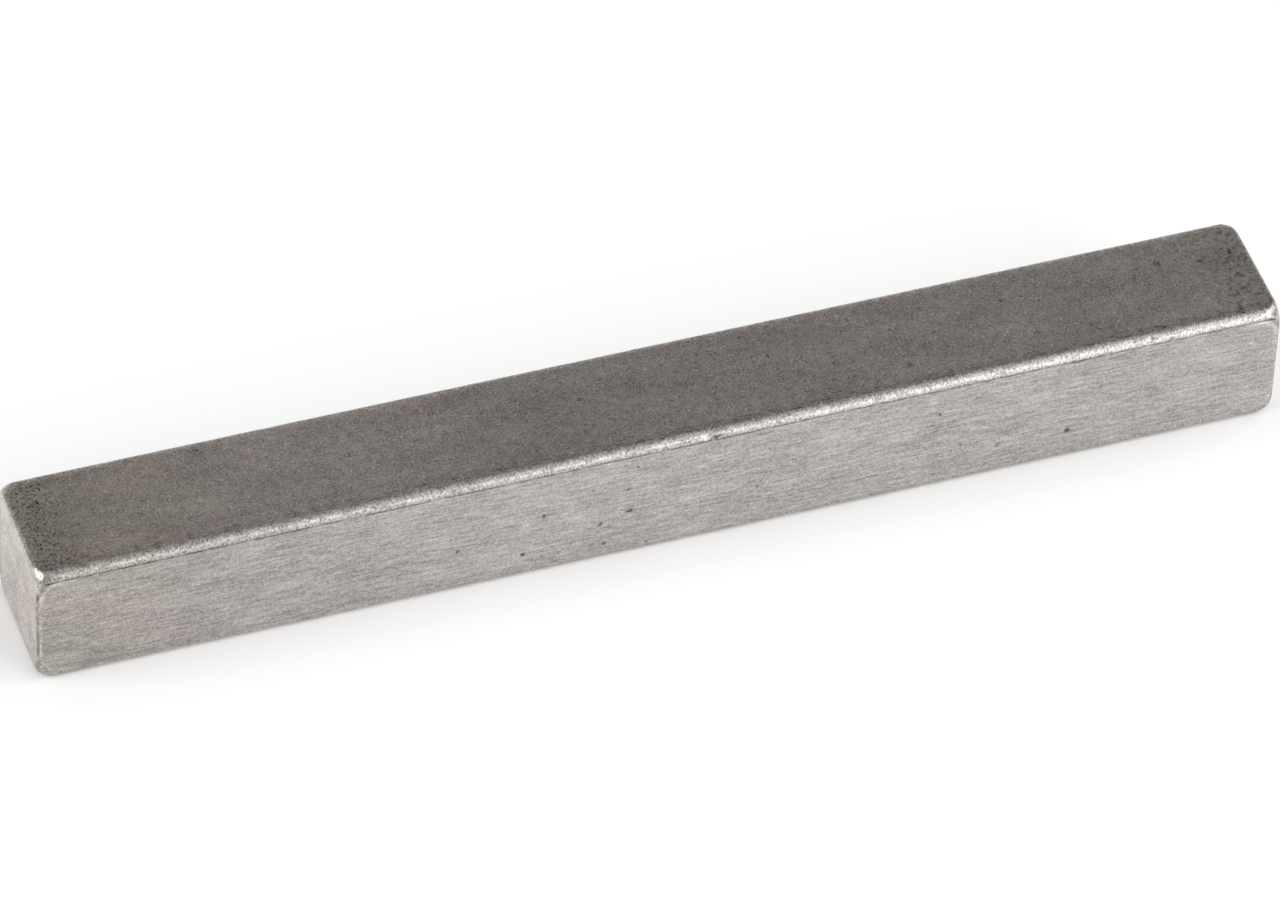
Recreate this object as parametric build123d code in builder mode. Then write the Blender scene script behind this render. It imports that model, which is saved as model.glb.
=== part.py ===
"""Parallel key with square ends, cut from bright-drawn square steel bar and tumbled.

The key is one solid piece. It lies along X on its bottom face, with the origin at the centre of that
face, its flanks facing +Y and -Y and its top facing +Z.
"""

from build123d import *

import os

# Driving dimensions, in millimetres.
key_width = 6.0  # across the flanks, which carry the torque in the keyways
key_height = 6.0  # from the floor of the shaft's keyway to the top of the key
key_length = 55.0  # between the two sawn ends
long_edge_radius = 0.35  # rounding of the four long edges of the drawn bar
end_edge_radius = 0.2  # tighter rounding that tumbling leaves round each sawn end
corner_radius = 1.0  # long edges where they meet the ends, because tumbling wears the corners most
corner_wear_length = 0.7  # how far in from each end the extra wear of the corners reaches

# The extra wear is a loft through this many sections, from the straight bar to the end face.
wear_sections = 3

half_length = key_length / 2
straight_half_length = half_length - corner_wear_length


def bar_section(distance, edge_radius):
    """Return the bar's section across X at a distance from the middle, with its four edges rounded."""
    with BuildSketch(Plane.YZ.offset(distance)) as section:
        with Locations((0, key_height / 2)):
            RectangleRounded(key_width, key_height, edge_radius)
    return section.sketch


def worn_section(share):
    """Return the section at a share of the way from the straight bar, 0, to the end face, 1.

    The edge radius grows with the square of that share, so the wear starts tangent to the straight edge.
    """
    edge_radius = long_edge_radius + (corner_radius - long_edge_radius) * share**2
    return bar_section(straight_half_length + corner_wear_length * share, edge_radius)


with BuildPart() as parallel_key:
    # Half of the straight bar, from the middle to where the wear of the corners starts.
    extrude(bar_section(0, long_edge_radius), amount=straight_half_length)

    # The last stretch, where the four long edges open out into the worn corners.
    loft([worn_section(step / (wear_sections - 1)) for step in range(wear_sections)])

    # The rounded rim of the sawn end.
    end_face = parallel_key.faces().sort_by(Axis.X)[-1]
    fillet(end_face.edges(), radius=end_edge_radius)

    # The other end is the same.
    mirror(about=Plane.YZ)

parallel_key.part.label = "parallel_key"

os.makedirs("parts", exist_ok=True)
export_step(parallel_key.part, "parts/parallel_key.step")
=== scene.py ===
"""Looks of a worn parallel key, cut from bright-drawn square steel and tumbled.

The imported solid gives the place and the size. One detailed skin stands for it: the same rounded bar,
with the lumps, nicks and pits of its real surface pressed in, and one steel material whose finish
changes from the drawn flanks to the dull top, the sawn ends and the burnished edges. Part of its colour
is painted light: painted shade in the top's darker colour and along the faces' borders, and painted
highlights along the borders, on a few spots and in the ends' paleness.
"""

import logging
import math
from dataclasses import dataclass
from enum import Enum
from typing import Any

import bpy
import numpy as np
from mathutils import Matrix, Vector


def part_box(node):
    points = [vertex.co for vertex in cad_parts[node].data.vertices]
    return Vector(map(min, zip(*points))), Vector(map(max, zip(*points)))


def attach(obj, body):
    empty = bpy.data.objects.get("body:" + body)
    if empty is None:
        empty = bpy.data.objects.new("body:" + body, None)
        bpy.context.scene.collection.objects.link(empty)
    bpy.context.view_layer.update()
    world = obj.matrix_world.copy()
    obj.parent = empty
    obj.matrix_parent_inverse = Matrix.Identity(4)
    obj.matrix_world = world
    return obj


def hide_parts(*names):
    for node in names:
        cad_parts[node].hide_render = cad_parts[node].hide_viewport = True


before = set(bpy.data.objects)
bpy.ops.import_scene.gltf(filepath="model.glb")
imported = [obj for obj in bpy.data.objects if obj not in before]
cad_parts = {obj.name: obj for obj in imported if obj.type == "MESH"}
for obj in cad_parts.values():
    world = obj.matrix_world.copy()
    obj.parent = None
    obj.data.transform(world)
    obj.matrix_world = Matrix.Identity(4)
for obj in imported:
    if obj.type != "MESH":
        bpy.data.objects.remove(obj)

MM = 0.001
MICRON = 1e-6
KEY_NODE = "parallel_key"
log = logging.getLogger("parallel_key_scene")

Socket = bpy.types.NodeSocket
Xyz = tuple[float, float, float]
# Factors whose product is how much darker the steel is.
Shade = tuple[Socket | float, ...]

# A Mix node takes its two numbers at sockets 2 and 3. In colour mode it takes its two colours at sockets
# 6 and 7, and gives its result at 2.
NUMBER_A, NUMBER_B = 2, 3
COLOUR_A, COLOUR_B, COLOUR_OUT = 6, 7, 2

# A Map Range node with this setting eases from its one level to the other. Where no levels are given,
# they are zero and one.
EASED = {"interpolation_type": "SMOOTHSTEP"}

# Where the front flank and the top lie, in millimetres from the middle of the key's bottom face, and how
# deep a mark on one of them reaches, so that its whole outline shows.
FRONT = -3.0
TOP = 6.0
THROUGH = 0.6

LEFT, RIGHT = (-1.0, 0.0, 0.0), (1.0, 0.0, 0.0)
FORWARD, BACK = (0.0, -1.0, 0.0), (0.0, 1.0, 0.0)
DOWN, UP = (0.0, 0.0, -1.0), (0.0, 0.0, 1.0)


class Face(Enum):
    """Which faces of the key a finish covers, as the axis of their outward direction."""

    ENDS = 0
    FLANKS = 1
    TOP_AND_BOTTOM = 2


@dataclass(frozen=True)
class Mark:
    """A pit, nick, scratch or painted highlight, in millimetres from the middle of the key's bottom face.

    Attributes:
        place: Where its centre lies, along X, Y and Z.
        reach: How far it reaches from its centre along X, Y and Z.
        shade: How much darker its centre is than the steel round it. A bright scratch or a painted
            highlight is below zero.
        depth: How deep it is pressed into the skin.
    """

    place: Xyz
    reach: Xyz
    shade: float
    depth: float = 0.0


@dataclass(frozen=True)
class Facet:
    """A spot on a corner that has been knocked flat.

    Attributes:
        toward: The outward direction of the flat spot, which also tells which corner it is on.
        depth: How far the corner is flattened, in millimetres.
    """

    toward: Xyz
    depth: float


@dataclass(frozen=True)
class Layer:
    """One layer of a finish's pattern: soft random patches of one size.

    Attributes:
        size: The patches' size along X, Y and Z, in millimetres.
        contrast: How far the layer moves the steel from its dark colour towards its light one.
        relief: The height of the patches, in micrometres.
        detail: How many finer patterns lie over it, each half the size of the one before.
    """

    size: Xyz
    contrast: float
    relief: float = 0.0
    detail: float = 0.0


@dataclass(frozen=True)
class Finish:
    """How one kind of the key's surface looks.

    Attributes:
        dark: The sRGB colour of its darkest patches.
        light: The sRGB colour of its lightest patches.
        roughness: How widely it spreads what it mirrors.
        layers: The patterns that it is made of.
    """

    dark: str
    light: str
    roughness: float
    layers: tuple[Layer, ...]


@dataclass(frozen=True)
class Coat:
    """Where a finish lies: on a pair of faces, up to a ragged border.

    Attributes:
        face: The faces.
        finish: Their finish.
        whole: The way outside the faces, in millimetres, up to which the finish is whole.
        gone: The way outside the faces from which nothing is left of it.
        ragged: How far its border wanders, in millimetres.
    """

    face: Face
    finish: Finish
    whole: float
    gone: float
    ragged: float


@dataclass(frozen=True)
class Patches:
    """Patches where a soft random pattern about 0.5 rises past a threshold.

    Attributes:
        size: The pattern's size along X, Y and Z, in millimetres.
        start: The pattern's value at a patch's outline, which sets how sparse the patches are.
        full: The pattern's value from which a patch is whole.
        detail: How many finer patterns roughen the outlines.
    """

    size: Xyz
    start: float
    full: float
    detail: float = 1.0


@dataclass(frozen=True)
class Speckle:
    """Sparse specks on one pair of faces.

    Attributes:
        face: The faces that carry them.
        specks: Where the specks are.
        shade: How much darker they are than the steel round them. Bright ones are below zero.
    """

    face: Face
    specks: Patches
    shade: float


@dataclass(frozen=True)
class Zone:
    """The part of the key toward one side.

    Attributes:
        toward: The direction from the key's middle to that side.
        start: How far along it the zone starts, in millimetres.
        full: How far along it the zone is whole.
    """

    toward: Xyz
    start: float
    full: float


@dataclass(frozen=True)
class ZoneTone:
    """A zone of one pair of faces that is darker all over, with specks of dirt in some zones.

    Attributes:
        face: The faces.
        zone: Where on them it lies.
        even: How much darker its steel is all over. A paler zone is below zero.
        dirt: How much darker its specks of dirt are.
        specks: Where they are, if it has any.
    """

    face: Face
    zone: Zone
    even: float
    dirt: float = 0.0
    specks: Patches | None = None


@dataclass(frozen=True)
class Line:
    """A thin line that follows the border of a pair of faces, in one zone. A dark one is painted shade,
    and a pale one a painted highlight.

    Attributes:
        face: The faces whose border it follows.
        way: How far outside them it runs, in millimetres. Inside is below zero.
        reach: How far it spreads to either side.
        shade: How much darker it is than the steel round it. A pale line, a painted highlight, is below
            zero.
        limit: The faces whose border ends the line.
        gone: The way outside those faces, in millimetres, at which the line has faded out.
        whole: The way outside those faces at which it has its full shade.
        zone: The part of the key where it shows.
        rounded: Whether it goes round the faces' worn corners in an arc.
    """

    face: Face
    way: float
    reach: float
    shade: float
    limit: Face
    gone: float
    whole: float
    zone: Zone
    rounded: bool = False


@dataclass(frozen=True)
class Hairlines:
    """Sparse fine scratches that run every way over one pair of faces.

    Attributes:
        face: The faces.
        apart: How far apart they would lie if none were left out, in millimetres.
        reach: How far each spreads to either side, in millimetres.
        shade: How much darker they are than the steel round them. Bright ones are below zero.
        left: The soft patches in which they are not left out.
    """

    face: Face
    apart: float
    reach: float
    shade: float
    left: Patches = Patches((0.9, 0.9, 0.9), 0.54, 0.64, 0.0)


# The real grain and the finest streaks are a few hundredths of a millimetre wide. They are drawn about
# 0.1 mm wide, which is as coarse as they need to show.
#
# Cold-drawn steel off the die: streaks along the bar, over a fine grain from the tumbling.
DRAWN_FLANK = Finish("908d89", "d1cecb", 0.45, (
    Layer((1.6, 0.12, 0.12), 0.7, 0.4),
    Layer((0.45, 0.09, 0.09), 0.7, 0.4, 1.0),
    Layer((0.09, 0.09, 0.09), 1.3, 0.5, 1.0),
    Layer((2.5, 0.9, 0.9), 0.35),
))
# The same steel with a thin dull skin of oxide: mottled, with no direction. Its darker colour is partly
# painted shade, for the dimness that the top mirrors.
DULL_SHADED_TOP = Finish("7c7671", "b6b0aa", 0.47, (
    Layer((0.1, 0.1, 0.1), 1.65, 0.8, 1.0),
    Layer((0.4, 0.4, 0.4), 0.5),
    Layer((3.0, 1.2, 1.2), 0.4),
))
# A sawn and tumbled cut, with faint upright streaks from the saw. Its pale colour is partly a painted
# reflection of the bright floor beside it.
SAWN_END = Finish("b6b2ae", "e8e4e0", 0.38, (
    Layer((0.1, 0.1, 0.4), 1.5, 0.3, 1.0),
    Layer((0.12, 0.12, 0.12), 2.6, 0.4, 1.0),
    Layer((0.8, 0.8, 0.8), 1.0),
))
# Edges burnished by tumbling: bright and fine-grained, because every small blow leaves a facet.
BURNISHED_EDGE = Finish("837f7b", "d8d5d2", 0.37, (
    Layer((0.08, 0.11, 0.11), 2.2, 3.6, 1.0),
    Layer((0.6, 0.3, 0.3), 0.5),
))
COATS = (
    Coat(Face.TOP_AND_BOTTOM, DULL_SHADED_TOP, -0.08, 0.07, 0.2),
    Coat(Face.FLANKS, DRAWN_FLANK, -0.03, 0.03, 0.05),
    Coat(Face.ENDS, SAWN_END, 0.06, 0.16, 0.12),
)

SPECKLES = (
    Speckle(Face.TOP_AND_BOTTOM, Patches((0.16, 0.16, 0.16), 0.61, 0.75), 0.34),
    Speckle(Face.TOP_AND_BOTTOM, Patches((0.12, 0.12, 0.12), 0.61, 0.74), -0.55),
    Speckle(Face.FLANKS, Patches((0.25, 0.08, 0.08), 0.64, 0.8), 0.22),
    Speckle(Face.FLANKS, Patches((0.6, 0.07, 0.07), 0.64, 0.8, 0.0), -0.2),
)
HAIRLINES = (
    Hairlines(Face.TOP_AND_BOTTOM, 2.6, 0.035, -0.14),
    Hairlines(Face.FLANKS, 3.4, 0.03, -0.12),
)
# Dirt lies near both ends of the top, and its front edge is darker, with long specks. The top is paler at
# its back edge and a little darker over its right two thirds, and the flank grows darker towards its left
# end. The underside is taken to be like the top. The zones are measured from the middle of the bottom
# face.
FINE_DIRT = Patches((0.14, 0.14, 0.14), 0.5, 0.7, 2.0)
COARSE_DIRT = Patches((0.2, 0.2, 0.2), 0.5, 0.7, 2.0)
LONG_DIRT = Patches((0.5, 0.1, 0.1), 0.5, 0.7, 2.0)
ZONE_TONES = (
    ZoneTone(Face.TOP_AND_BOTTOM, Zone(LEFT, 24.4, 26.5), 0.08, 0.66, FINE_DIRT),
    ZoneTone(Face.TOP_AND_BOTTOM, Zone(RIGHT, 24.0, 26.4), 0.06, 0.45, COARSE_DIRT),
    ZoneTone(Face.TOP_AND_BOTTOM, Zone(FORWARD, 2.05, 2.45), 0.06, 0.45, LONG_DIRT),
    ZoneTone(Face.TOP_AND_BOTTOM, Zone(BACK, 2.35, 2.6), -0.1),
    ZoneTone(Face.TOP_AND_BOTTOM, Zone(RIGHT, -12.0, -5.0), 0.13),
    ZoneTone(Face.FLANKS, Zone(LEFT, 8.0, 26.0), 0.13),
)
UPPER_HALF = Zone(UP, 3.0, 4.5)
UPPER_LEFT = Zone((-0.2, 0.0, 1.0), 8.0, 10.0)
UPPER_RIGHT = Zone((0.2, 0.0, 1.0), 4.8, 10.0)
WHOLE_KEY = Zone(UP, -2.0, -1.0)
UPPER_CORNERS = Zone(UP, 4.3, 4.8)
BELOW_CORNER = Zone(DOWN, -5.3, -4.9)
# Along its upper border the flat flank ends in a fine step from the drawing die, which is not modelled:
# its shadow is painted as a dark line, with a pale line of painted highlight inside it. Above the step
# the edge has painted shade that makes it a little darker near the left end, and a painted highlight
# that makes it brighter towards the right.
UPPER_BORDER_LINES = (
    Line(Face.FLANKS, -0.02, 0.08, 0.58, Face.ENDS, 0.33, 0.45, UPPER_HALF),
    Line(Face.FLANKS, -0.12, 0.06, -0.1, Face.ENDS, 0.33, 0.45, UPPER_HALF),
    Line(Face.FLANKS, 0.03, 0.28, 0.1, Face.ENDS, 0.33, 0.45, UPPER_LEFT),
    Line(Face.FLANKS, 0.09, 0.11, -0.26, Face.ENDS, 0.2, 0.4, UPPER_RIGHT),
)
# Near the ends a pale line of painted highlight goes round the flank's worn corners and along its upright
# borders, where the rounding turns toward the light. It is wider round the upper corners, with a darker
# line of painted shade outside it.
CORNER_LINES = (
    Line(Face.FLANKS, -0.1, 0.11, -0.2, Face.ENDS, 2.0, 1.0, WHOLE_KEY, True),
    Line(Face.FLANKS, -0.12, 0.23, -0.25, Face.ENDS, 2.2, 1.2, UPPER_CORNERS, True),
    Line(Face.FLANKS, 0.12, 0.16, 0.25, Face.ENDS, 0.9, 0.5, UPPER_CORNERS, True),
)
# A dark line of painted shade runs along the upright rims of the ends, and a faint one along the upper
# rim.
RIM_LINES = (
    Line(Face.ENDS, 0.02, 0.25, 0.58, Face.FLANKS, 0.6, 0.4, BELOW_CORNER),
    Line(Face.ENDS, -0.02, 0.22, 0.13, Face.TOP_AND_BOTTOM, 0.6, 0.4, UPPER_HALF),
)
LINES = UPPER_BORDER_LINES + CORNER_LINES + RIM_LINES
# Soft patches of faint colour, warmer and cooler, left by the thin uneven oxide, which is a little
# browner towards the left end.
WARM_TINT = "fefafb"
COOL_TINT = "fbfbf9"
COOL_PATCHES = Patches((7.0, 2.5, 2.5), 0.35, 0.65)
NO_TINT = "ffffff"
BROWN_TINT = "fffdfa"
BROWNED = Zone(LEFT, 18.0, 24.0)


def on_flank(x: float, z: float, along: float, up: float, shade: float, depth: float = 0.0) -> Mark:
    """Make a mark on the front flank, at X and Z, that reaches that far along it and up it."""
    return Mark((x, FRONT, z), (along, THROUGH, up), shade, depth)


def on_top(x: float, y: float, along: float, over: float, shade: float, depth: float = 0.0) -> Mark:
    """Make a mark on the top, at X and Y, that reaches that far along it and across it."""
    return Mark((x, y, TOP), (along, over, THROUGH), shade, depth)


FLANK_MARKS = (
    on_flank(18.0, 1.6, 0.17, 0.2, 0.72, 0.03),
    on_flank(-1.7, 2.5, 0.25, 0.14, 0.72, 0.03),
    on_flank(-6.4, 1.25, 0.17, 0.15, 0.72, 0.03),
    on_flank(-3.0, 2.05, 0.13, 0.16, 0.68, 0.025),
    on_flank(12.1, 4.2, 0.12, 0.15, 0.64, 0.025),
    on_flank(-9.3, 2.3, 0.12, 0.12, 0.59),
    on_flank(-5.5, 3.25, 0.13, 0.2, 0.55, 0.02),
    on_flank(13.1, 2.15, 0.12, 0.12, 0.55),
    on_flank(-1.4, 5.0, 0.12, 0.12, 0.51),
    on_flank(-2.8, 0.9, 0.17, 0.13, 0.51),
    on_flank(4.0, 2.3, 0.11, 0.1, 0.51),
    on_flank(-0.9, 0.45, 0.09, 0.12, 0.51),
    on_flank(-1.8, 3.8, 0.11, 0.1, 0.51),
    on_flank(14.8, 1.65, 0.18, 0.18, 0.3),
    on_flank(-5.0, 0.45, 0.24, 0.08, 0.35),
    on_flank(3.6, 1.3, 0.09, 0.1, 0.35),
    on_flank(13.2, 2.6, 0.13, 0.08, 0.33),
    on_flank(-5.3, 1.6, 0.08, 0.11, 0.33),
    on_flank(-15.3, 4.75, 0.13, 0.1, 0.32),
    on_flank(-3.4, 4.2, 0.1, 0.08, 0.32),
    on_flank(5.6, 1.5, 0.4, 0.05, -0.22),
    on_flank(-5.8, 0.9, 0.25, 0.06, -0.2),
    on_flank(5.45, 3.5, 0.05, 0.5, -0.12),
)
TOP_MARKS = (
    on_top(23.4, 1.3, 0.24, 0.18, 0.42, 0.02),
    on_top(26.5, -0.35, 0.22, 0.2, 0.32),
    on_top(26.4, -1.2, 0.22, 0.15, 0.3),
    on_top(25.9, -1.5, 0.3, 0.12, 0.3),
    on_top(25.2, 0.9, 0.2, 0.17, 0.28),
    on_top(22.45, 1.2, 0.15, 0.12, 0.35),
    on_top(22.2, -1.25, 0.12, 0.12, 0.32),
    on_top(-26.4, 1.1, 0.3, 0.4, 0.25),
    on_top(-26.7, -0.1, 0.25, 0.35, 0.2),
    on_top(-25.2, 1.1, 0.1, 0.1, 0.35),
    on_top(-19.1, 2.35, 0.2, 0.18, 0.4),
    on_top(11.2, -1.5, 0.22, 0.13, 0.38),
    on_top(5.6, 0.8, 0.12, 0.15, 0.48),
    on_top(-25.9, 2.35, 0.14, 0.11, 0.5),
    on_top(-24.3, 2.45, 2.3, 0.17, 0.17),
    on_top(-2.8, 0.6, 0.13, 0.12, 0.45),
    on_top(16.2, 1.1, 0.12, 0.14, 0.4),
    on_top(26.65, 1.1, 0.14, 0.28, 0.4),
    on_top(19.7, -1.8, 0.13, 0.13, 0.4),
    on_top(11.1, 0.75, 0.1, 0.13, 0.38),
    on_top(2.7, -1.05, 0.1, 0.12, 0.35),
    on_top(-12.3, -1.9, 0.08, 0.12, 0.35),
    on_top(-3.3, 1.8, 0.09, 0.09, 0.36),
    on_top(-19.8, -0.5, 0.18, 0.14, -0.3),
    on_top(20.0, 0.9, 0.16, 0.09, -0.28),
)
EDGE_MARKS = (
    Mark((2.02, -2.98, 5.76), (0.26, 0.3, 0.11), 0.7, 0.02),
    # The next three pale spots are painted highlights, by the nick above and on a dent further right.
    Mark((1.62, -2.95, 5.78), (0.2, 0.3, 0.14), -0.3, 0.03),
    Mark((1.85, -3.0, 5.58), (0.16, 0.3, 0.08), -0.25),
    Mark((21.45, -2.98, 5.68), (0.14, 0.3, 0.12), -0.45, 0.04),
    Mark((21.6, -2.9, 5.9), (0.16, 0.15, 0.05), 0.3, 0.02),
    Mark((-10.1, -2.7, 6.0), (0.15, 0.15, 0.2), 0.3, 0.02),
    # The next two pale spots are painted highlights on the knocked-flat front left corner of the top.
    Mark((-27.42, -2.45, 5.87), (0.14, 0.42, 0.16), -0.45),
    Mark((-27.3, -2.6, 5.83), (0.12, 0.16, 0.12), -0.5),
    Mark((-27.2, 2.6, 5.9), (0.4, 0.6, 0.4), -0.35),
    Mark((27.1, 2.6, 5.9), (0.5, 0.5, 0.4), -0.2),
)
MARKS = FLANK_MARKS + TOP_MARKS + EDGE_MARKS

# The front left corner of the top has been knocked flat.
FACETS = (Facet((-0.64, -0.37, 0.67), 0.045),)


def linear(colour: str) -> tuple[float, float, float, float]:
    """Turn an sRGB colour into the linear one that Blender's sockets take.

    Args:
        colour: Six hex digits, such as "8a8580".

    Returns:
        The linear red, green and blue, and an alpha of one.
    """
    shares = [int(colour[start : start + 2], 16) / 255 for start in (0, 2, 4)]
    return (*(s / 12.92 if s <= 0.04045 else ((s + 0.055) / 1.055) ** 2.4 for s in shares), 1.0)


def add(
    tree: bpy.types.NodeTree,
    kind: str,
    inputs: dict[int | str, Any] | None = None,
    out: int | str = 0,
    **settings: Any,
) -> Socket | None:
    """Add a shader node, set it up and link it.

    Args:
        tree: The node tree that gets it.
        kind: Blender's name for the node, without its "ShaderNode".
        inputs: Values or output sockets for its inputs, by name or number.
        out: Which output to return, by name or number.
        **settings: The node's own properties.

    Returns:
        The output socket asked for, or None where the node has no outputs.
    """
    made = tree.nodes.new("ShaderNode" + kind)
    for name, value in settings.items():
        setattr(made, name, value)
    for socket, value in (inputs or {}).items():
        if isinstance(value, Socket):
            tree.links.new(value, made.inputs[socket])
        else:
            made.inputs[socket].default_value = value
    return made.outputs[out] if len(made.outputs) else None


def smooth_noise(points: np.ndarray, cell: float, seed: int) -> np.ndarray:
    """Work out smooth random values, from 0 to 1, at points in space.

    Each corner of a cubic lattice has a random value. Inside a cell, the eight corner values are mixed
    by the point's shares of the cell, eased by 3t^2 - 2t^3, so that the values join smoothly.

    Args:
        points: Places, as an array that ends in an axis of three.
        cell: The lattice's spacing, in the unit of the points.
        seed: What the random values start from.

    Returns:
        One value for each point.
    """
    size = 64
    table = np.random.default_rng(seed).random((size, size, size))
    scaled = points / cell
    corner = np.floor(scaled).astype(int)
    share = scaled - corner
    share = share * share * (3 - 2 * share)
    total = np.zeros(points.shape[:-1])
    for step in np.ndindex(2, 2, 2):
        weight = np.prod(np.where(step, share, 1 - share), axis=-1)
        index = (corner + step) % size
        total += weight * table[index[..., 0], index[..., 1], index[..., 2]]
    return total


@dataclass(frozen=True)
class SkinGrid:
    """The unworn surface of the key, sampled by section and round each section.

    Attributes:
        points: The places, in millimetres.
        facing: The outward directions.
        ways: The ways outside the ends, the flanks and the top and bottom, in millimetres along the
            surface. A way is below zero on the faces themselves.
        rounded_ways: The same ways, going round the faces' worn corners in an arc.
    """

    points: np.ndarray
    facing: np.ndarray
    ways: np.ndarray
    rounded_ways: np.ndarray


@dataclass
class KeySkin:
    """The key's whole surface as one closed grid, from the middle of one end to that of the other.

    Sizes are in millimetres. The length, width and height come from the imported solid.

    Attributes:
        length: Its size along X.
        width: Its size along Y.
        height: Its size along Z.
        marks: The marks, of which the deep ones are pressed in.
        facets: The flat spots on its corners.
        long_edge_radius: The rounding of its long edges.
        end_edge_radius: The rounding of the ends' rims.
        corner_radius: The rounding of its long edges at the ends, where they are worn most.
        corner_wear_length: How far from each end that wear reaches.
        border_radius: The rounding that the rounded ways give the corners of a face's border.
        border_reach: How far up the rims they move that border.
        overlap: How far the finish of the bar reaches over the rims.
        arc_steps: The steps round each long edge, in the order of the outline.
        flat_steps: The steps across the top, the front, the bottom and the back.
        bar_steps: The steps along the straight bar.
        fine_steps: The finer steps by which those are placed.
        crowding: How much denser the sections are at a pressed mark.
        crowding_reach: How far along the bar that reaches.
        wear_steps: The steps along the corner wear.
        rim_steps: The steps round a rim.
        cap_steps: The steps from a rim to its end's middle.
        edge_grading: How much the steps across a flat shrink at its borders, as a share.
        cap_grading: The power by which the steps over an end grow from the rim.
        hammered_depth: The depth of the deepest lumps.
        hammered_size: The lumps' size.
        hammered_layers: Each layer of lumps: its share of the size and of the depth, and its seed.
        hammered_lean: How far from facing along an axis the surface leans where the lumps are whole,
            as one less the facing's greatest part.
        facet_border: How far round a facet the lumps and marks are smoothed out.
        facet_facing: What the facing's part toward a facet is taken to be at least.
    """

    length: float
    width: float
    height: float
    marks: tuple[Mark, ...]
    facets: tuple[Facet, ...]
    long_edge_radius: float = 0.35
    end_edge_radius: float = 0.2
    corner_radius: float = 1.0
    corner_wear_length: float = 0.7
    border_radius: float = 1.05
    border_reach: float = 0.2
    overlap: float = 0.05
    arc_steps: tuple[int, int, int, int] = (6, 14, 6, 6)
    flat_steps: tuple[int, int, int, int] = (56, 66, 20, 20)
    bar_steps: int = 400
    fine_steps: int = 8000
    crowding: float = 3.0
    crowding_reach: float = 0.3
    wear_steps: int = 14
    rim_steps: int = 7
    cap_steps: int = 10
    edge_grading: float = 0.6
    cap_grading: float = 1.6
    hammered_depth: float = 0.014
    hammered_size: float = 0.55
    hammered_layers: tuple[tuple[float, float, int], ...] = ((1.0, 0.7, 5), (0.5, 0.3, 6))
    hammered_lean: float = 0.1
    facet_border: float = 0.03
    facet_facing: float = 0.3

    def outline(self) -> tuple[np.ndarray, np.ndarray]:
        """Lay out the samples round the section, anticlockwise as seen from +X, from the top back edge.

        A sample is anchor times (half size - radius) plus radius times normal, so that one layout
        serves every half size and edge radius. Along an edge's arc the anchor stays at the corner and
        the normal turns through a quarter. Along a flat the normal stays and the anchor moves, by steps
        that shrink towards the flat's borders: the share is s - k sin(2 pi s) / (2 pi).

        Returns:
            The anchors and the normals, each an array of Y and Z.
        """
        corners = np.array([(1, 1), (-1, 1), (-1, -1), (1, -1)], float)
        anchors, normals = [], []
        for turn, (corner, following) in enumerate(zip(corners, np.roll(corners, -1, axis=0))):
            angle = np.pi / 2 * (turn + np.linspace(0, 1, self.arc_steps[turn] + 1))
            anchors.append(np.broadcast_to(corner, (len(angle), 2)))
            normals.append(np.stack([np.cos(angle), np.sin(angle)], axis=1))
            share = np.linspace(0, 1, self.flat_steps[turn] + 1)[1:-1, None]
            share = share - self.edge_grading * np.sin(2 * np.pi * share) / (2 * np.pi)
            anchors.append(corner * (1 - share) + following * share)
            normals.append(np.broadcast_to(normals[-1][-1], (len(share), 2)))
        return np.concatenate(anchors), np.concatenate(normals)

    def bar_sections(self) -> np.ndarray:
        """Place the sections of the straight bar, closer together where marks are pressed in.

        The density is one, plus a bell of the crowding round each pressed mark. The sections lie where
        the density's running total rises by even steps.

        Returns:
            The sections' places along X.
        """
        straight = self.length / 2 - self.corner_wear_length
        fine = np.linspace(-straight, straight, self.fine_steps + 1)
        density = np.ones_like(fine)
        for mark in self.marks:
            if mark.depth:
                density += self.crowding * np.exp(-(((fine - mark.place[0]) / self.crowding_reach) ** 2))
        total = np.concatenate([[0], np.cumsum((density[1:] + density[:-1]) / 2)])
        return np.interp(np.linspace(0, total[-1], self.bar_steps + 1), total, fine)

    def end_sections(self) -> tuple[np.ndarray, np.ndarray, np.ndarray, np.ndarray]:
        """Lay out the sections of the right end, from the start of the corner wear to the end's middle.

        The edge radius grows by the square of the share of the worn stretch. Round the rim, at angle a,
        the section lies r (1 - sin a) short of the end. Over the end face it shrinks to the
        middle, by steps that grow from the rim.

        Returns:
            The sections' places along X, edge radii, rim angles and scales.
        """
        half = self.length / 2
        straight = half - self.corner_wear_length
        worn = np.linspace(straight, half - self.end_edge_radius, self.wear_steps + 1)[1:]
        rim_angle = np.linspace(0, np.pi / 2, self.rim_steps + 1)[1:]
        rim = half - self.end_edge_radius * (1 - np.sin(rim_angle))
        cap_scale = 1 - np.linspace(0, 1, self.cap_steps + 1)[1:-1] ** self.cap_grading
        place = np.concatenate([worn, rim, np.full(len(cap_scale), half)])
        share = (place - straight) / self.corner_wear_length
        radius = self.long_edge_radius + (self.corner_radius - self.long_edge_radius) * share**2
        angle = np.concatenate([np.zeros(len(worn)), rim_angle, np.full(len(cap_scale), np.pi / 2)])
        scale = np.concatenate([np.ones(len(worn) + len(rim)), cap_scale])
        return place, radius, angle, scale

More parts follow.
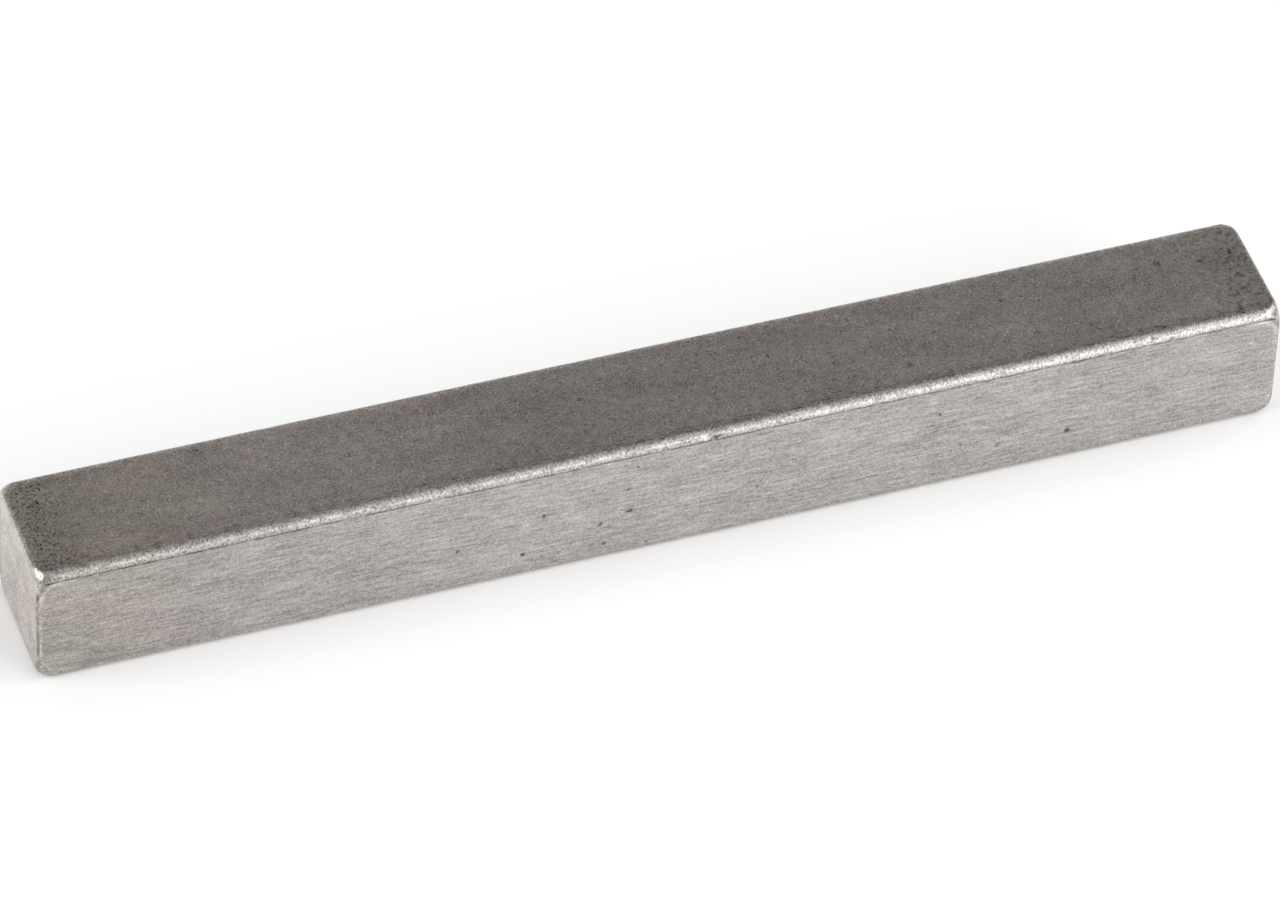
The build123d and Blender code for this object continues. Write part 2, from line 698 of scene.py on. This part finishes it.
    def smooth_grid(self) -> SkinGrid:
        """Work out the unworn surface.

        At rim angle a, the section is drawn in by r (1 - cos a) all round, and its normals lean along X
        by sin a and shrink across by cos a.

        The way outside a flank is the arc's length from it, less what is left of the flank, plus what
        is passed of the next face. Where the corner is worn rounder, the flank's border stays nearly
        straight, so half of the arc's extra length is taken off too, and half as much for the top.
        Round the rim it is the way round it, less the overlap, by which the bar's older finish reaches
        over the cut. Of the two the longer counts. To round the corner of a face's border by a radius
        R, the two are a and b in the square root of (a + R)^2 + (b + R)^2, less R, where neither sum
        goes below zero. This rounded border lies a little further up the rim, by the border's reach.

        Returns:
            The surface, with the ways outside its faces.
        """
        bar = self.bar_sections()
        place, radius, angle, scale = self.end_sections()
        place = np.concatenate([-place[::-1], bar, place])[:, None]
        radius = np.concatenate([radius[::-1], np.full(len(bar), self.long_edge_radius), radius])
        angle = np.concatenate([-angle[::-1], np.zeros(len(bar)), angle])[:, None]
        scale = np.concatenate([scale[::-1], np.ones(len(bar)), scale])[:, None]
        anchors, normals = self.outline()
        inset = self.end_edge_radius * (1 - np.cos(angle))
        arc = radius[:, None] - inset
        flat = np.array([self.width, self.height]) / 2 - (inset + arc)[..., None]
        across = (anchors * flat + arc[..., None] * normals) * scale[..., None]
        left = flat * (1 - np.abs(anchors))
        spare = np.clip(arc - self.long_edge_radius, 0, None) * np.pi / 4
        turned = arc[..., None] * np.arcsin(np.abs(normals).clip(0, 1))
        turned = turned - spare[..., None] * np.array([0.5, 1])
        onto_rim = self.end_edge_radius * np.abs(angle) + self.height / 2 * (1 - scale)
        onto_rim -= np.clip(self.length / 2 - self.end_edge_radius - np.abs(place), 0, None)
        outside_ends = np.broadcast_to(self.end_edge_radius * np.pi / 2 - onto_rim, across.shape[:2])
        outside_bar = (turned - left + left[..., ::-1])[..., ::-1]
        onto_rim = onto_rim[..., None]
        both = (outside_bar, onto_rim - self.border_reach)
        rounded = np.hypot(*(np.clip(way + self.border_radius, 0, None) for way in both))
        along = np.broadcast_to(place[..., None], (*across.shape[:2], 1))
        lean = np.broadcast_to(np.sin(angle)[..., None], along.shape)
        return SkinGrid(
            points=np.concatenate([along, across + np.array([0, self.height / 2])], axis=2),
            facing=np.concatenate([lean, np.cos(angle)[..., None] * normals], axis=2),
            ways=np.dstack([outside_ends, np.maximum(outside_bar, onto_rim - self.overlap)]),
            rounded_ways=np.dstack([outside_ends, rounded - self.border_radius]),
        )

    def worn_depth(self, grid: SkinGrid) -> np.ndarray:
        """Work out how deep the wear goes at each point.

        The rounded edges are hammered by smooth random lumps, which fade out towards the flats. Each
        mark adds a bell: its depth times e to the minus squared distance, measured in its reaches. Each
        facet cuts off what reaches further its way than the furthest point less its depth, and smooths
        out the lumps and marks just round it.

        Args:
            grid: The unworn surface.

        Returns:
            The depth at each point, in millimetres, never below zero.
        """
        rounding = np.clip((1 - np.abs(grid.facing).max(axis=2)) / self.hammered_lean, 0, 1)
        lumps = sum(
            share * smooth_noise(grid.points, size * self.hammered_size, seed)
            for size, share, seed in self.hammered_layers
        )
        depth = self.hammered_depth * rounding * lumps
        for mark in self.marks:
            if mark.depth:
                apart = ((grid.points - np.array(mark.place)) / np.array(mark.reach)) ** 2
                depth += mark.depth * np.exp(-apart.sum(axis=2))
        for facet in self.facets:
            toward = np.array(facet.toward) / np.linalg.norm(facet.toward)
            reached = grid.points @ toward
            beyond = reached - reached.max() + facet.depth
            depth *= np.clip(-beyond / self.facet_border, 0, 1)
            facing = np.clip(grid.facing @ toward, self.facet_facing, None)
            depth = np.maximum(depth, beyond / facing)
        return depth

    def build(self, name: str) -> bpy.types.Object:
        """Make the skin's mesh and its object.

        Four neighbours on the grid make a face, and a fan closes each end at its middle. The ways are
        kept as the attributes "ways" and "rounded_ways", so that the steel knows the faces from the edges.

        Args:
            name: The object's name.

        Returns:
            The object, at the origin, with its place in its mesh.
        """
        grid = self.smooth_grid()
        worn = grid.points - grid.facing * self.worn_depth(grid)[..., None]
        sections, samples = grid.ways.shape[:2]
        middle = np.array([[-self.length / 2, 0, self.height / 2], [self.length / 2, 0, self.height / 2]])
        vertices = np.concatenate([worn.reshape(-1, 3), middle]) * MM
        past_rim = self.height / 2 + self.end_edge_radius * np.pi / 2 - self.overlap
        middle_ways = np.array([-self.height / 2, past_rim, past_rim])
        index = np.arange(sections * samples).reshape(sections, samples)
        onward = np.roll(index, -1, axis=1)
        quads = np.stack([index[:-1], onward[:-1], onward[1:], index[1:]], axis=-1).reshape(-1, 4)
        left = np.stack([np.full(samples, sections * samples), onward[0], index[0]], axis=-1)
        right = np.stack([np.full(samples, sections * samples + 1), index[-1], onward[-1]], axis=-1)
        mesh = bpy.data.meshes.new(name)
        mesh.from_pydata(vertices.tolist(), [], quads.tolist() + left.tolist() + right.tolist())
        for kind, ways in (("ways", grid.ways), ("rounded_ways", grid.rounded_ways)):
            values = np.concatenate([ways.reshape(-1, 3), [middle_ways, middle_ways]])
            mesh.attributes.new(kind, "FLOAT_VECTOR", "POINT").data.foreach_set("vector", values.ravel())
        mesh.shade_smooth()
        mesh.validate()
        made = bpy.data.objects.new(name, mesh)
        bpy.context.scene.collection.objects.link(made)
        log.info("%s: %d sections of %d samples", name, sections, samples)
        return made

    def dress(self, skin: bpy.types.Object) -> None:
        """Give the skin its steel, say which body it rides on, and hide the solid that it stands for.

        Args:
            skin: The object that was built.
        """
        skin.data.materials.append(WornSteel(self.marks).material())
        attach(skin, "root")
        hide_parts(KEY_NODE)
        log.info("%s: dressed in %s", skin.name, skin.data.materials[0].name)


@dataclass
class WornSteel:
    """The key's steel: unalloyed medium-carbon steel, bright drawn, sawn and tumbled, not plated.

    It mirrors broadly and greyly, with a finish of its own on the flanks, the top and bottom, the ends
    and the rounded edges. The top's finish is partly painted shade and the ends' partly a painted
    reflection, and its lines and a few marks are painted shade and highlights. Sizes are in millimetres.

    Attributes:
        marks: The marks that it shades.
        name: The material's name.
        wander: How far the marks' outlines wander.
        wander_size: The size of their wandering.
        mark_core: The share of a mark's reach inside which it has its full shade.
        ragged_size: The size of the raggedness of the coats' borders, along X, Y and Z.
        crooked: How far a line strays to either side.
        crooked_size: The size of its straying.
        unbroken: The patches in which a line is whole.
        broken: The share of its shade that it keeps outside them.
    """

    marks: tuple[Mark, ...]
    name: str = "bright_drawn_tumbled_steel"
    wander: float = 0.09
    wander_size: float = 0.11
    mark_core: float = 0.4
    ragged_size: Xyz = (0.16, 0.1, 0.1)
    crooked: float = 0.03
    crooked_size: Xyz = (0.4, 0.1, 0.1)
    unbroken: Patches = Patches((0.6, 0.3, 0.3), 0.3, 0.55)
    broken: float = 0.3

    def __post_init__(self) -> None:
        """Start the material, and read in it the place on the key and the ways, in millimetres."""
        self.made = bpy.data.materials.new(self.name)
        self.made.use_nodes = True
        self.tree = self.made.node_tree
        self.tree.nodes.clear()
        metres = add(self.tree, "TexCoord", out="Object")
        self.place = add(self.tree, "VectorMath", {0: metres, 1: (1 / MM,) * 3}, operation="MULTIPLY")
        self.ways = self.ways_outside("ways")
        self.rounded_ways = self.ways_outside("rounded_ways")
        self.covers = {coat.face: self.cover(coat) for coat in COATS}

    def ways_outside(self, attribute: str) -> dict[Face, Socket]:
        """Read one of the skin's attributes.

        Args:
            attribute: Its name.

        Returns:
            The sockets of the ways outside each pair of faces, in millimetres.
        """
        ways = add(self.tree, "Attribute", out="Vector", attribute_name=attribute)
        return {face: add(self.tree, "SeparateXYZ", {0: ways}, out=face.value) for face in Face}

    def material(self) -> bpy.types.Material:
        """Build the material: the finishes, their shades taken off, and the tint over them.

        Returns:
            The material, with its nodes.
        """
        colour, roughness, height = self.finishes()
        share: Socket | float = 1.0
        for shade, *limits in (
            *self.mark_shades(),
            *(self.speckle_shade(speckle) for speckle in SPECKLES),
            *(self.zone_tone_shade(zone_tone) for zone_tone in ZONE_TONES),
            *(self.line_shade(line) for line in LINES),
            *(self.hairline_shade(hairlines) for hairlines in HAIRLINES),
        ):
            for limit in limits:
                shade = add(self.tree, "Math", {0: shade, 1: limit}, operation="MULTIPLY")
            share = add(self.tree, "Math", {0: share, 1: shade}, operation="SUBTRACT")
        colour = add(self.tree, "VectorMath", {0: colour, "Scale": share}, operation="SCALE")
        bump = add(self.tree, "Bump", {"Strength": 1.0, "Distance": 1.0, "Height": height})
        steel = add(self.tree, "BsdfPrincipled", {
            "Base Color": self.tinted(colour),
            "Metallic": 1.0,
            "Roughness": roughness,
            "Normal": bump,
        })
        add(self.tree, "OutputMaterial", {"Surface": steel})
        return self.made

    def pattern(self, size: Xyz, detail: float = 1.0) -> Socket:
        """Add a soft random pattern.

        Args:
            size: Its size along X, Y and Z, in millimetres.
            detail: How many finer patterns lie over it.

        Returns:
            The socket of a value about 0.5.
        """
        narrow = tuple(1 / reach for reach in size)
        scaled = add(self.tree, "VectorMath", {0: self.place, 1: narrow}, operation="MULTIPLY")
        return add(self.tree, "TexNoise", {"Vector": scaled, "Scale": 1.0, "Detail": detail})

    def patches(self, patches: Patches, low: float = 0.0, high: float = 1.0) -> Socket:
        """Add random patches.

        Args:
            patches: The patches.
            low: The level outside them.
            high: The level inside them.

        Returns:
            The socket of the level.
        """
        return add(self.tree, "MapRange", {
            "Value": self.pattern(patches.size, patches.detail),
            "From Min": patches.start,
            "From Max": patches.full,
            "To Min": low,
            "To Max": high,
        }, **EASED)

    def within(self, zone: Zone) -> Socket:
        """Tell where a zone is.

        Args:
            zone: The zone.

        Returns:
            The socket of a value that rises from zero to one where the zone starts.
        """
        toward = {0: self.place, 1: zone.toward}
        way = add(self.tree, "VectorMath", toward, out="Value", operation="DOT_PRODUCT")
        eased = {"Value": way, "From Min": zone.start, "From Max": zone.full}
        return add(self.tree, "MapRange", eased, **EASED)

    def cover(self, coat: Coat) -> Socket:
        """Tell a coat's faces from the edges round them.

        Args:
            coat: The coat.

        Returns:
            The socket of a value that is one on the faces and falls to zero over the coat's border.
        """
        shift = {0: self.pattern(self.ragged_size), 1: 2 * coat.ragged, 2: -coat.ragged}
        shift = add(self.tree, "Math", shift, operation="MULTIPLY_ADD")
        way = add(self.tree, "Math", {0: self.ways[coat.face], 1: shift}, operation="ADD")
        eased = {"Value": way, "From Min": coat.gone, "From Max": coat.whole}
        return add(self.tree, "MapRange", eased, **EASED)

    def finish(self, finish: Finish) -> tuple[Socket, Socket]:
        """Add one finish.

        Its tone is a half, plus each layer's contrast times how far the layer's patches stand from
        their middle. The colour runs from dark to light by the tone.

        Args:
            finish: The finish.

        Returns:
            The sockets of its colour and of its height, in metres.
        """
        tone = 0.5 - sum(layer.contrast for layer in finish.layers) / 2
        height = 0.0
        for layer in finish.layers:
            patches = self.pattern(layer.size, layer.detail)
            toned = {0: patches, 1: layer.contrast, 2: tone}
            tone = add(self.tree, "Math", toned, operation="MULTIPLY_ADD")
            if layer.relief:
                raised = {0: patches, 1: layer.relief * MICRON, 2: height}
                height = add(self.tree, "Math", raised, operation="MULTIPLY_ADD")
        ends = {0: tone, COLOUR_A: linear(finish.dark), COLOUR_B: linear(finish.light)}
        return add(self.tree, "Mix", ends, COLOUR_OUT, data_type="RGBA"), height

    def finishes(self) -> tuple[Socket, Socket, Socket]:
        """Lay each coat on its faces, over the burnished edges.

        Returns:
            The sockets of the colour, of the roughness and of the height, in metres.
        """
        colour, height = self.finish(BURNISHED_EDGE)
        roughness = BURNISHED_EDGE.roughness
        for coat in COATS:
            cover = self.covers[coat.face]
            own_colour, own_height = self.finish(coat.finish)
            mixed = {0: cover, COLOUR_A: colour, COLOUR_B: own_colour}
            colour = add(self.tree, "Mix", mixed, COLOUR_OUT, data_type="RGBA")
            mixed = {0: cover, NUMBER_A: roughness, NUMBER_B: coat.finish.roughness}
            roughness = add(self.tree, "Mix", mixed)
            height = add(self.tree, "Mix", {0: cover, NUMBER_A: height, NUMBER_B: own_height})
        return colour, roughness, height

    def mark_shades(self) -> list[Shade]:
        """Shade every mark inside its own ellipsoid, whose outline wanders a little.

        Returns:
            The marks' shades, each of one factor, which is zero outside the mark.
        """
        scale = 1 / self.wander_size
        noise = {"Vector": self.place, "Scale": scale, "Detail": 1.0}
        noise = add(self.tree, "TexNoise", noise, out="Color")
        offset = add(self.tree, "VectorMath", {0: noise, 1: (0.5,) * 3}, operation="SUBTRACT")
        stretch = {0: offset, 1: (2 * self.wander,) * 3, 2: self.place}
        wandering = add(self.tree, "VectorMath", stretch, operation="MULTIPLY_ADD")
        shades = []
        for mark in self.marks:
            narrow = tuple(1 / reach for reach in mark.reach)
            start = tuple(-centre / reach for centre, reach in zip(mark.place, mark.reach))
            offset = {0: wandering, 1: narrow, 2: start}
            offset = add(self.tree, "VectorMath", offset, operation="MULTIPLY_ADD")
            apart = add(self.tree, "VectorMath", {0: offset}, out="Value", operation="LENGTH")
            shade = {"Value": apart, "From Min": 1.0, "From Max": self.mark_core, "To Max": mark.shade}
            shades.append((add(self.tree, "MapRange", shade, **EASED),))
        return shades

    def speckle_shade(self, speckle: Speckle) -> Shade:
        """Shade the sparse specks of one kind on their faces.

        Args:
            speckle: The kind of speck.

        Returns:
            Their shade.
        """
        return self.patches(speckle.specks, 0.0, speckle.shade), self.covers[speckle.face]

    def zone_tone_shade(self, zone_tone: ZoneTone) -> Shade:
        """Shade one zone of a pair of faces, all over and by its specks of dirt.

        Args:
            zone_tone: The zone and how much darker it is.

        Returns:
            Its shade.
        """
        dark: Socket | float = zone_tone.even
        if zone_tone.specks:
            dark = self.patches(zone_tone.specks, zone_tone.even, zone_tone.even + zone_tone.dirt)
        return self.within(zone_tone.zone), dark, self.covers[zone_tone.face]

    def line_shade(self, line: Line) -> Shade:
        """Shade one line, broken up and a little crooked.

        Args:
            line: The line.

        Returns:
            Its shade.
        """
        stray = self.pattern(self.crooked_size)
        shift = {0: stray, 1: 2 * self.crooked, 2: -self.crooked - line.way}
        shift = add(self.tree, "Math", shift, operation="MULTIPLY_ADD")
        ways = self.rounded_ways if line.rounded else self.ways
        apart = add(self.tree, "Math", {0: ways[line.face], 1: shift}, operation="ADD")
        apart = add(self.tree, "Math", {0: apart}, operation="ABSOLUTE")
        shade = {"Value": apart, "From Min": line.reach, "From Max": 0.0, "To Max": line.shade}
        shade = add(self.tree, "MapRange", shade, **EASED)
        near = {"Value": self.ways[line.limit], "From Min": line.gone, "From Max": line.whole}
        near = add(self.tree, "MapRange", near, **EASED)
        return shade, near, self.patches(self.unbroken, self.broken), self.within(line.zone)

    def hairline_shade(self, hairlines: Hairlines) -> Shade:
        """Shade hairline scratches: borders between random cells, of which soft patches leave a few.

        Args:
            hairlines: The scratches.

        Returns:
            Their shade.
        """
        cells = {"Vector": self.place, "Scale": 1 / hairlines.apart}
        apart = add(self.tree, "TexVoronoi", cells, "Distance", feature="DISTANCE_TO_EDGE")
        reach = hairlines.reach / hairlines.apart
        shade = {"Value": apart, "From Min": reach, "From Max": 0.0, "To Max": hairlines.shade}
        shade = add(self.tree, "MapRange", shade, **EASED)
        return shade, self.patches(hairlines.left), self.covers[hairlines.face]

    def tinted(self, colour: Socket) -> Socket:
        """Multiply the colour by soft patches of a warm and a cool tint, and by brown at one end.

        Args:
            colour: The colour.

        Returns:
            The socket of the tinted colour.
        """
        cool = self.patches(COOL_PATCHES)
        tint = {0: cool, COLOUR_A: linear(WARM_TINT), COLOUR_B: linear(COOL_TINT)}
        tint = add(self.tree, "Mix", tint, COLOUR_OUT, data_type="RGBA")
        brown = {0: self.within(BROWNED), COLOUR_A: linear(NO_TINT), COLOUR_B: linear(BROWN_TINT)}
        brown = add(self.tree, "Mix", brown, COLOUR_OUT, data_type="RGBA")
        tint = add(self.tree, "VectorMath", {0: tint, 1: brown}, operation="MULTIPLY")
        return add(self.tree, "VectorMath", {0: colour, 1: tint}, operation="MULTIPLY")


@dataclass(frozen=True)
class Camera:
    """A long lens that looks down on the key from its front left, a little tilted.

    Attributes:
        azimuth: How far round from the front it stands, in radians. To the left is below zero.
        elevation: How far up it stands, in radians.
        roll: How far it is turned about its viewing direction, in radians.
        distance: How far from the key's middle it stands, in metres.
        lens: Its focal length, in millimetres.
        aside: How far to the left in its own plane it is moved, in metres.
        below: How far down in its own plane it is moved, in metres.
        clip: How many times nearer and further than the key it still sees.
    """

    azimuth: float = math.radians(-20.6)
    elevation: float = math.radians(44.64)
    roll: float = math.radians(2.58)
    distance: float = 0.403
    lens: float = 268.6
    aside: float = 0.000225
    below: float = 0.00017
    clip: float = 100.0

    def build(self, centre: Vector) -> bpy.types.Object:
        """Place the camera.

        The viewing direction comes from the azimuth and the elevation, the roll turns the picture about
        it, and the camera then moves a little aside and down in its own plane.

        Args:
            centre: The middle of the key.

        Returns:
            The camera's object, set as the scene's camera.
        """
        level = math.cos(self.elevation)
        back = Vector((
            math.sin(self.azimuth) * level,
            -math.cos(self.azimuth) * level,
            math.sin(self.elevation),
        ))
        right = Vector((math.cos(self.azimuth), math.sin(self.azimuth), 0))
        up = back.cross(right)
        tilted_right = math.cos(self.roll) * right + math.sin(self.roll) * up
        tilted_up = math.cos(self.roll) * up - math.sin(self.roll) * right
        made = bpy.data.objects.new("camera", bpy.data.cameras.new("camera"))
        made.data.lens = self.lens
        made.data.clip_start = self.distance / self.clip
        made.data.clip_end = self.distance * self.clip
        turned = Matrix((tilted_right, tilted_up, back)).transposed().to_4x4()
        place = centre + self.distance * back - self.aside * tilted_right - self.below * tilted_up
        made.matrix_world = Matrix.Translation(place) @ turned
        bpy.context.scene.collection.objects.link(made)
        bpy.context.scene.camera = made
        return made


@dataclass(frozen=True)
class SoftLight:
    """A rectangular soft light that faces the key.

    Attributes:
        name: The object's name.
        toward: The direction from the key to the light.
        distance: How far away it is, in metres.
        size: Its width and height, in metres.
        glow: Its brightness, where a lit white floor is about one.
    """

    name: str
    toward: Xyz
    distance: float
    size: tuple[float, float]
    glow: float

    def build(self, centre: Vector) -> bpy.types.Object:
        """Place the light. An area light's power is its glow times pi times its area.

        Args:
            centre: The middle of the key.

        Returns:
            The light's object.
        """
        lamp = bpy.data.lights.new(self.name, "AREA")
        lamp.shape = "RECTANGLE"
        lamp.size, lamp.size_y = self.size
        lamp.energy = self.glow * math.pi * self.size[0] * self.size[1]
        made = bpy.data.objects.new(self.name, lamp)
        toward = Vector(self.toward).normalized()
        made.location = centre + self.distance * toward
        made.rotation_mode = "QUATERNION"
        made.rotation_quaternion = (-toward).to_track_quat("-Z", "Y")
        made.visible_camera = False
        bpy.context.scene.collection.objects.link(made)
        return made


@dataclass(frozen=True)
class Studio:
    """A matt white light table under soft lights, in a dim room.

    Attributes:
        floor_size: The length of the table's sides, in metres.
        floor_colour: Its sRGB colour.
        floor_glow: How much light comes through it from below.
        room_glow: How bright the room is all round.
        lights: The soft lights.
    """

    floor_size: float = 6.0
    floor_colour: str = "fafafa"
    floor_glow: float = 0.05
    room_glow: float = 0.5
    lights: tuple[SoftLight, ...] = (
        SoftLight("front_softbox", (0.44, -0.83, 0.34), 0.8, (0.28, 0.62), 3.4),
        SoftLight("high_right_softbox", (0.61, -0.35, 0.71), 0.8, (0.5, 0.5), 2.1),
        SoftLight("left_softbox", (-0.77, 0.0, 0.64), 0.8, (0.5, 0.5), 3.0),
        SoftLight("right_softbox", (0.75, 0.13, 0.64), 0.8, (0.5, 0.5), 1.3),
    )

    def build(self, centre: Vector, floor_height: float) -> None:
        """Make the floor, the room's glow and the lights.

        Args:
            centre: The middle of the key.
            floor_height: Where the floor lies.
        """
        half = self.floor_size / 2
        mesh = bpy.data.meshes.new("floor")
        corners = [(-half, -half), (half, -half), (half, half), (-half, half)]
        mesh.from_pydata([(x, y, floor_height) for x, y in corners], [], [(0, 1, 2, 3)])
        mesh.materials.append(self.floor_material())
        floor = bpy.data.objects.new("floor", mesh)
        bpy.context.scene.collection.objects.link(floor)
        world = bpy.data.worlds.new("dim_room")
        world.use_nodes = True
        world.node_tree.nodes["Background"].inputs["Color"].default_value = (*(self.room_glow,) * 3, 1)
        bpy.context.scene.world = world
        for light in self.lights:
            light.build(centre)

    def floor_material(self) -> bpy.types.Material:
        """Make a matt white light table, lit a little from below, so that shadows on it stay pale.

        Returns:
            The material.
        """
        made = bpy.data.materials.new("matt_white_light_table")
        made.use_nodes = True
        tree = made.node_tree
        tree.nodes.clear()
        matt = add(tree, "BsdfDiffuse", {"Color": linear(self.floor_colour), "Roughness": 0.0})
        lit = add(tree, "Emission", {"Color": linear(self.floor_colour), "Strength": self.floor_glow})
        add(tree, "OutputMaterial", {"Surface": add(tree, "AddShader", {0: matt, 1: lit})})
        return made


def main() -> None:
    """Build the key's skin and its steel, then the camera and the studio."""
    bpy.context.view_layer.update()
    logging.basicConfig(level=logging.INFO, format="%(message)s")
    bpy.context.scene.view_settings.view_transform = "Standard"

    low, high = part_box(KEY_NODE)
    centre = (low + high) / 2
    length, width, height = (high - low) / MM
    key = KeySkin(length, width, height, MARKS, FACETS)
    key.dress(key.build("key_skin"))
    Camera().build(centre)
    log.info("camera placed")
    Studio().build(centre, low.z)
    log.info("studio built")


if __name__ == "__main__":
    main()
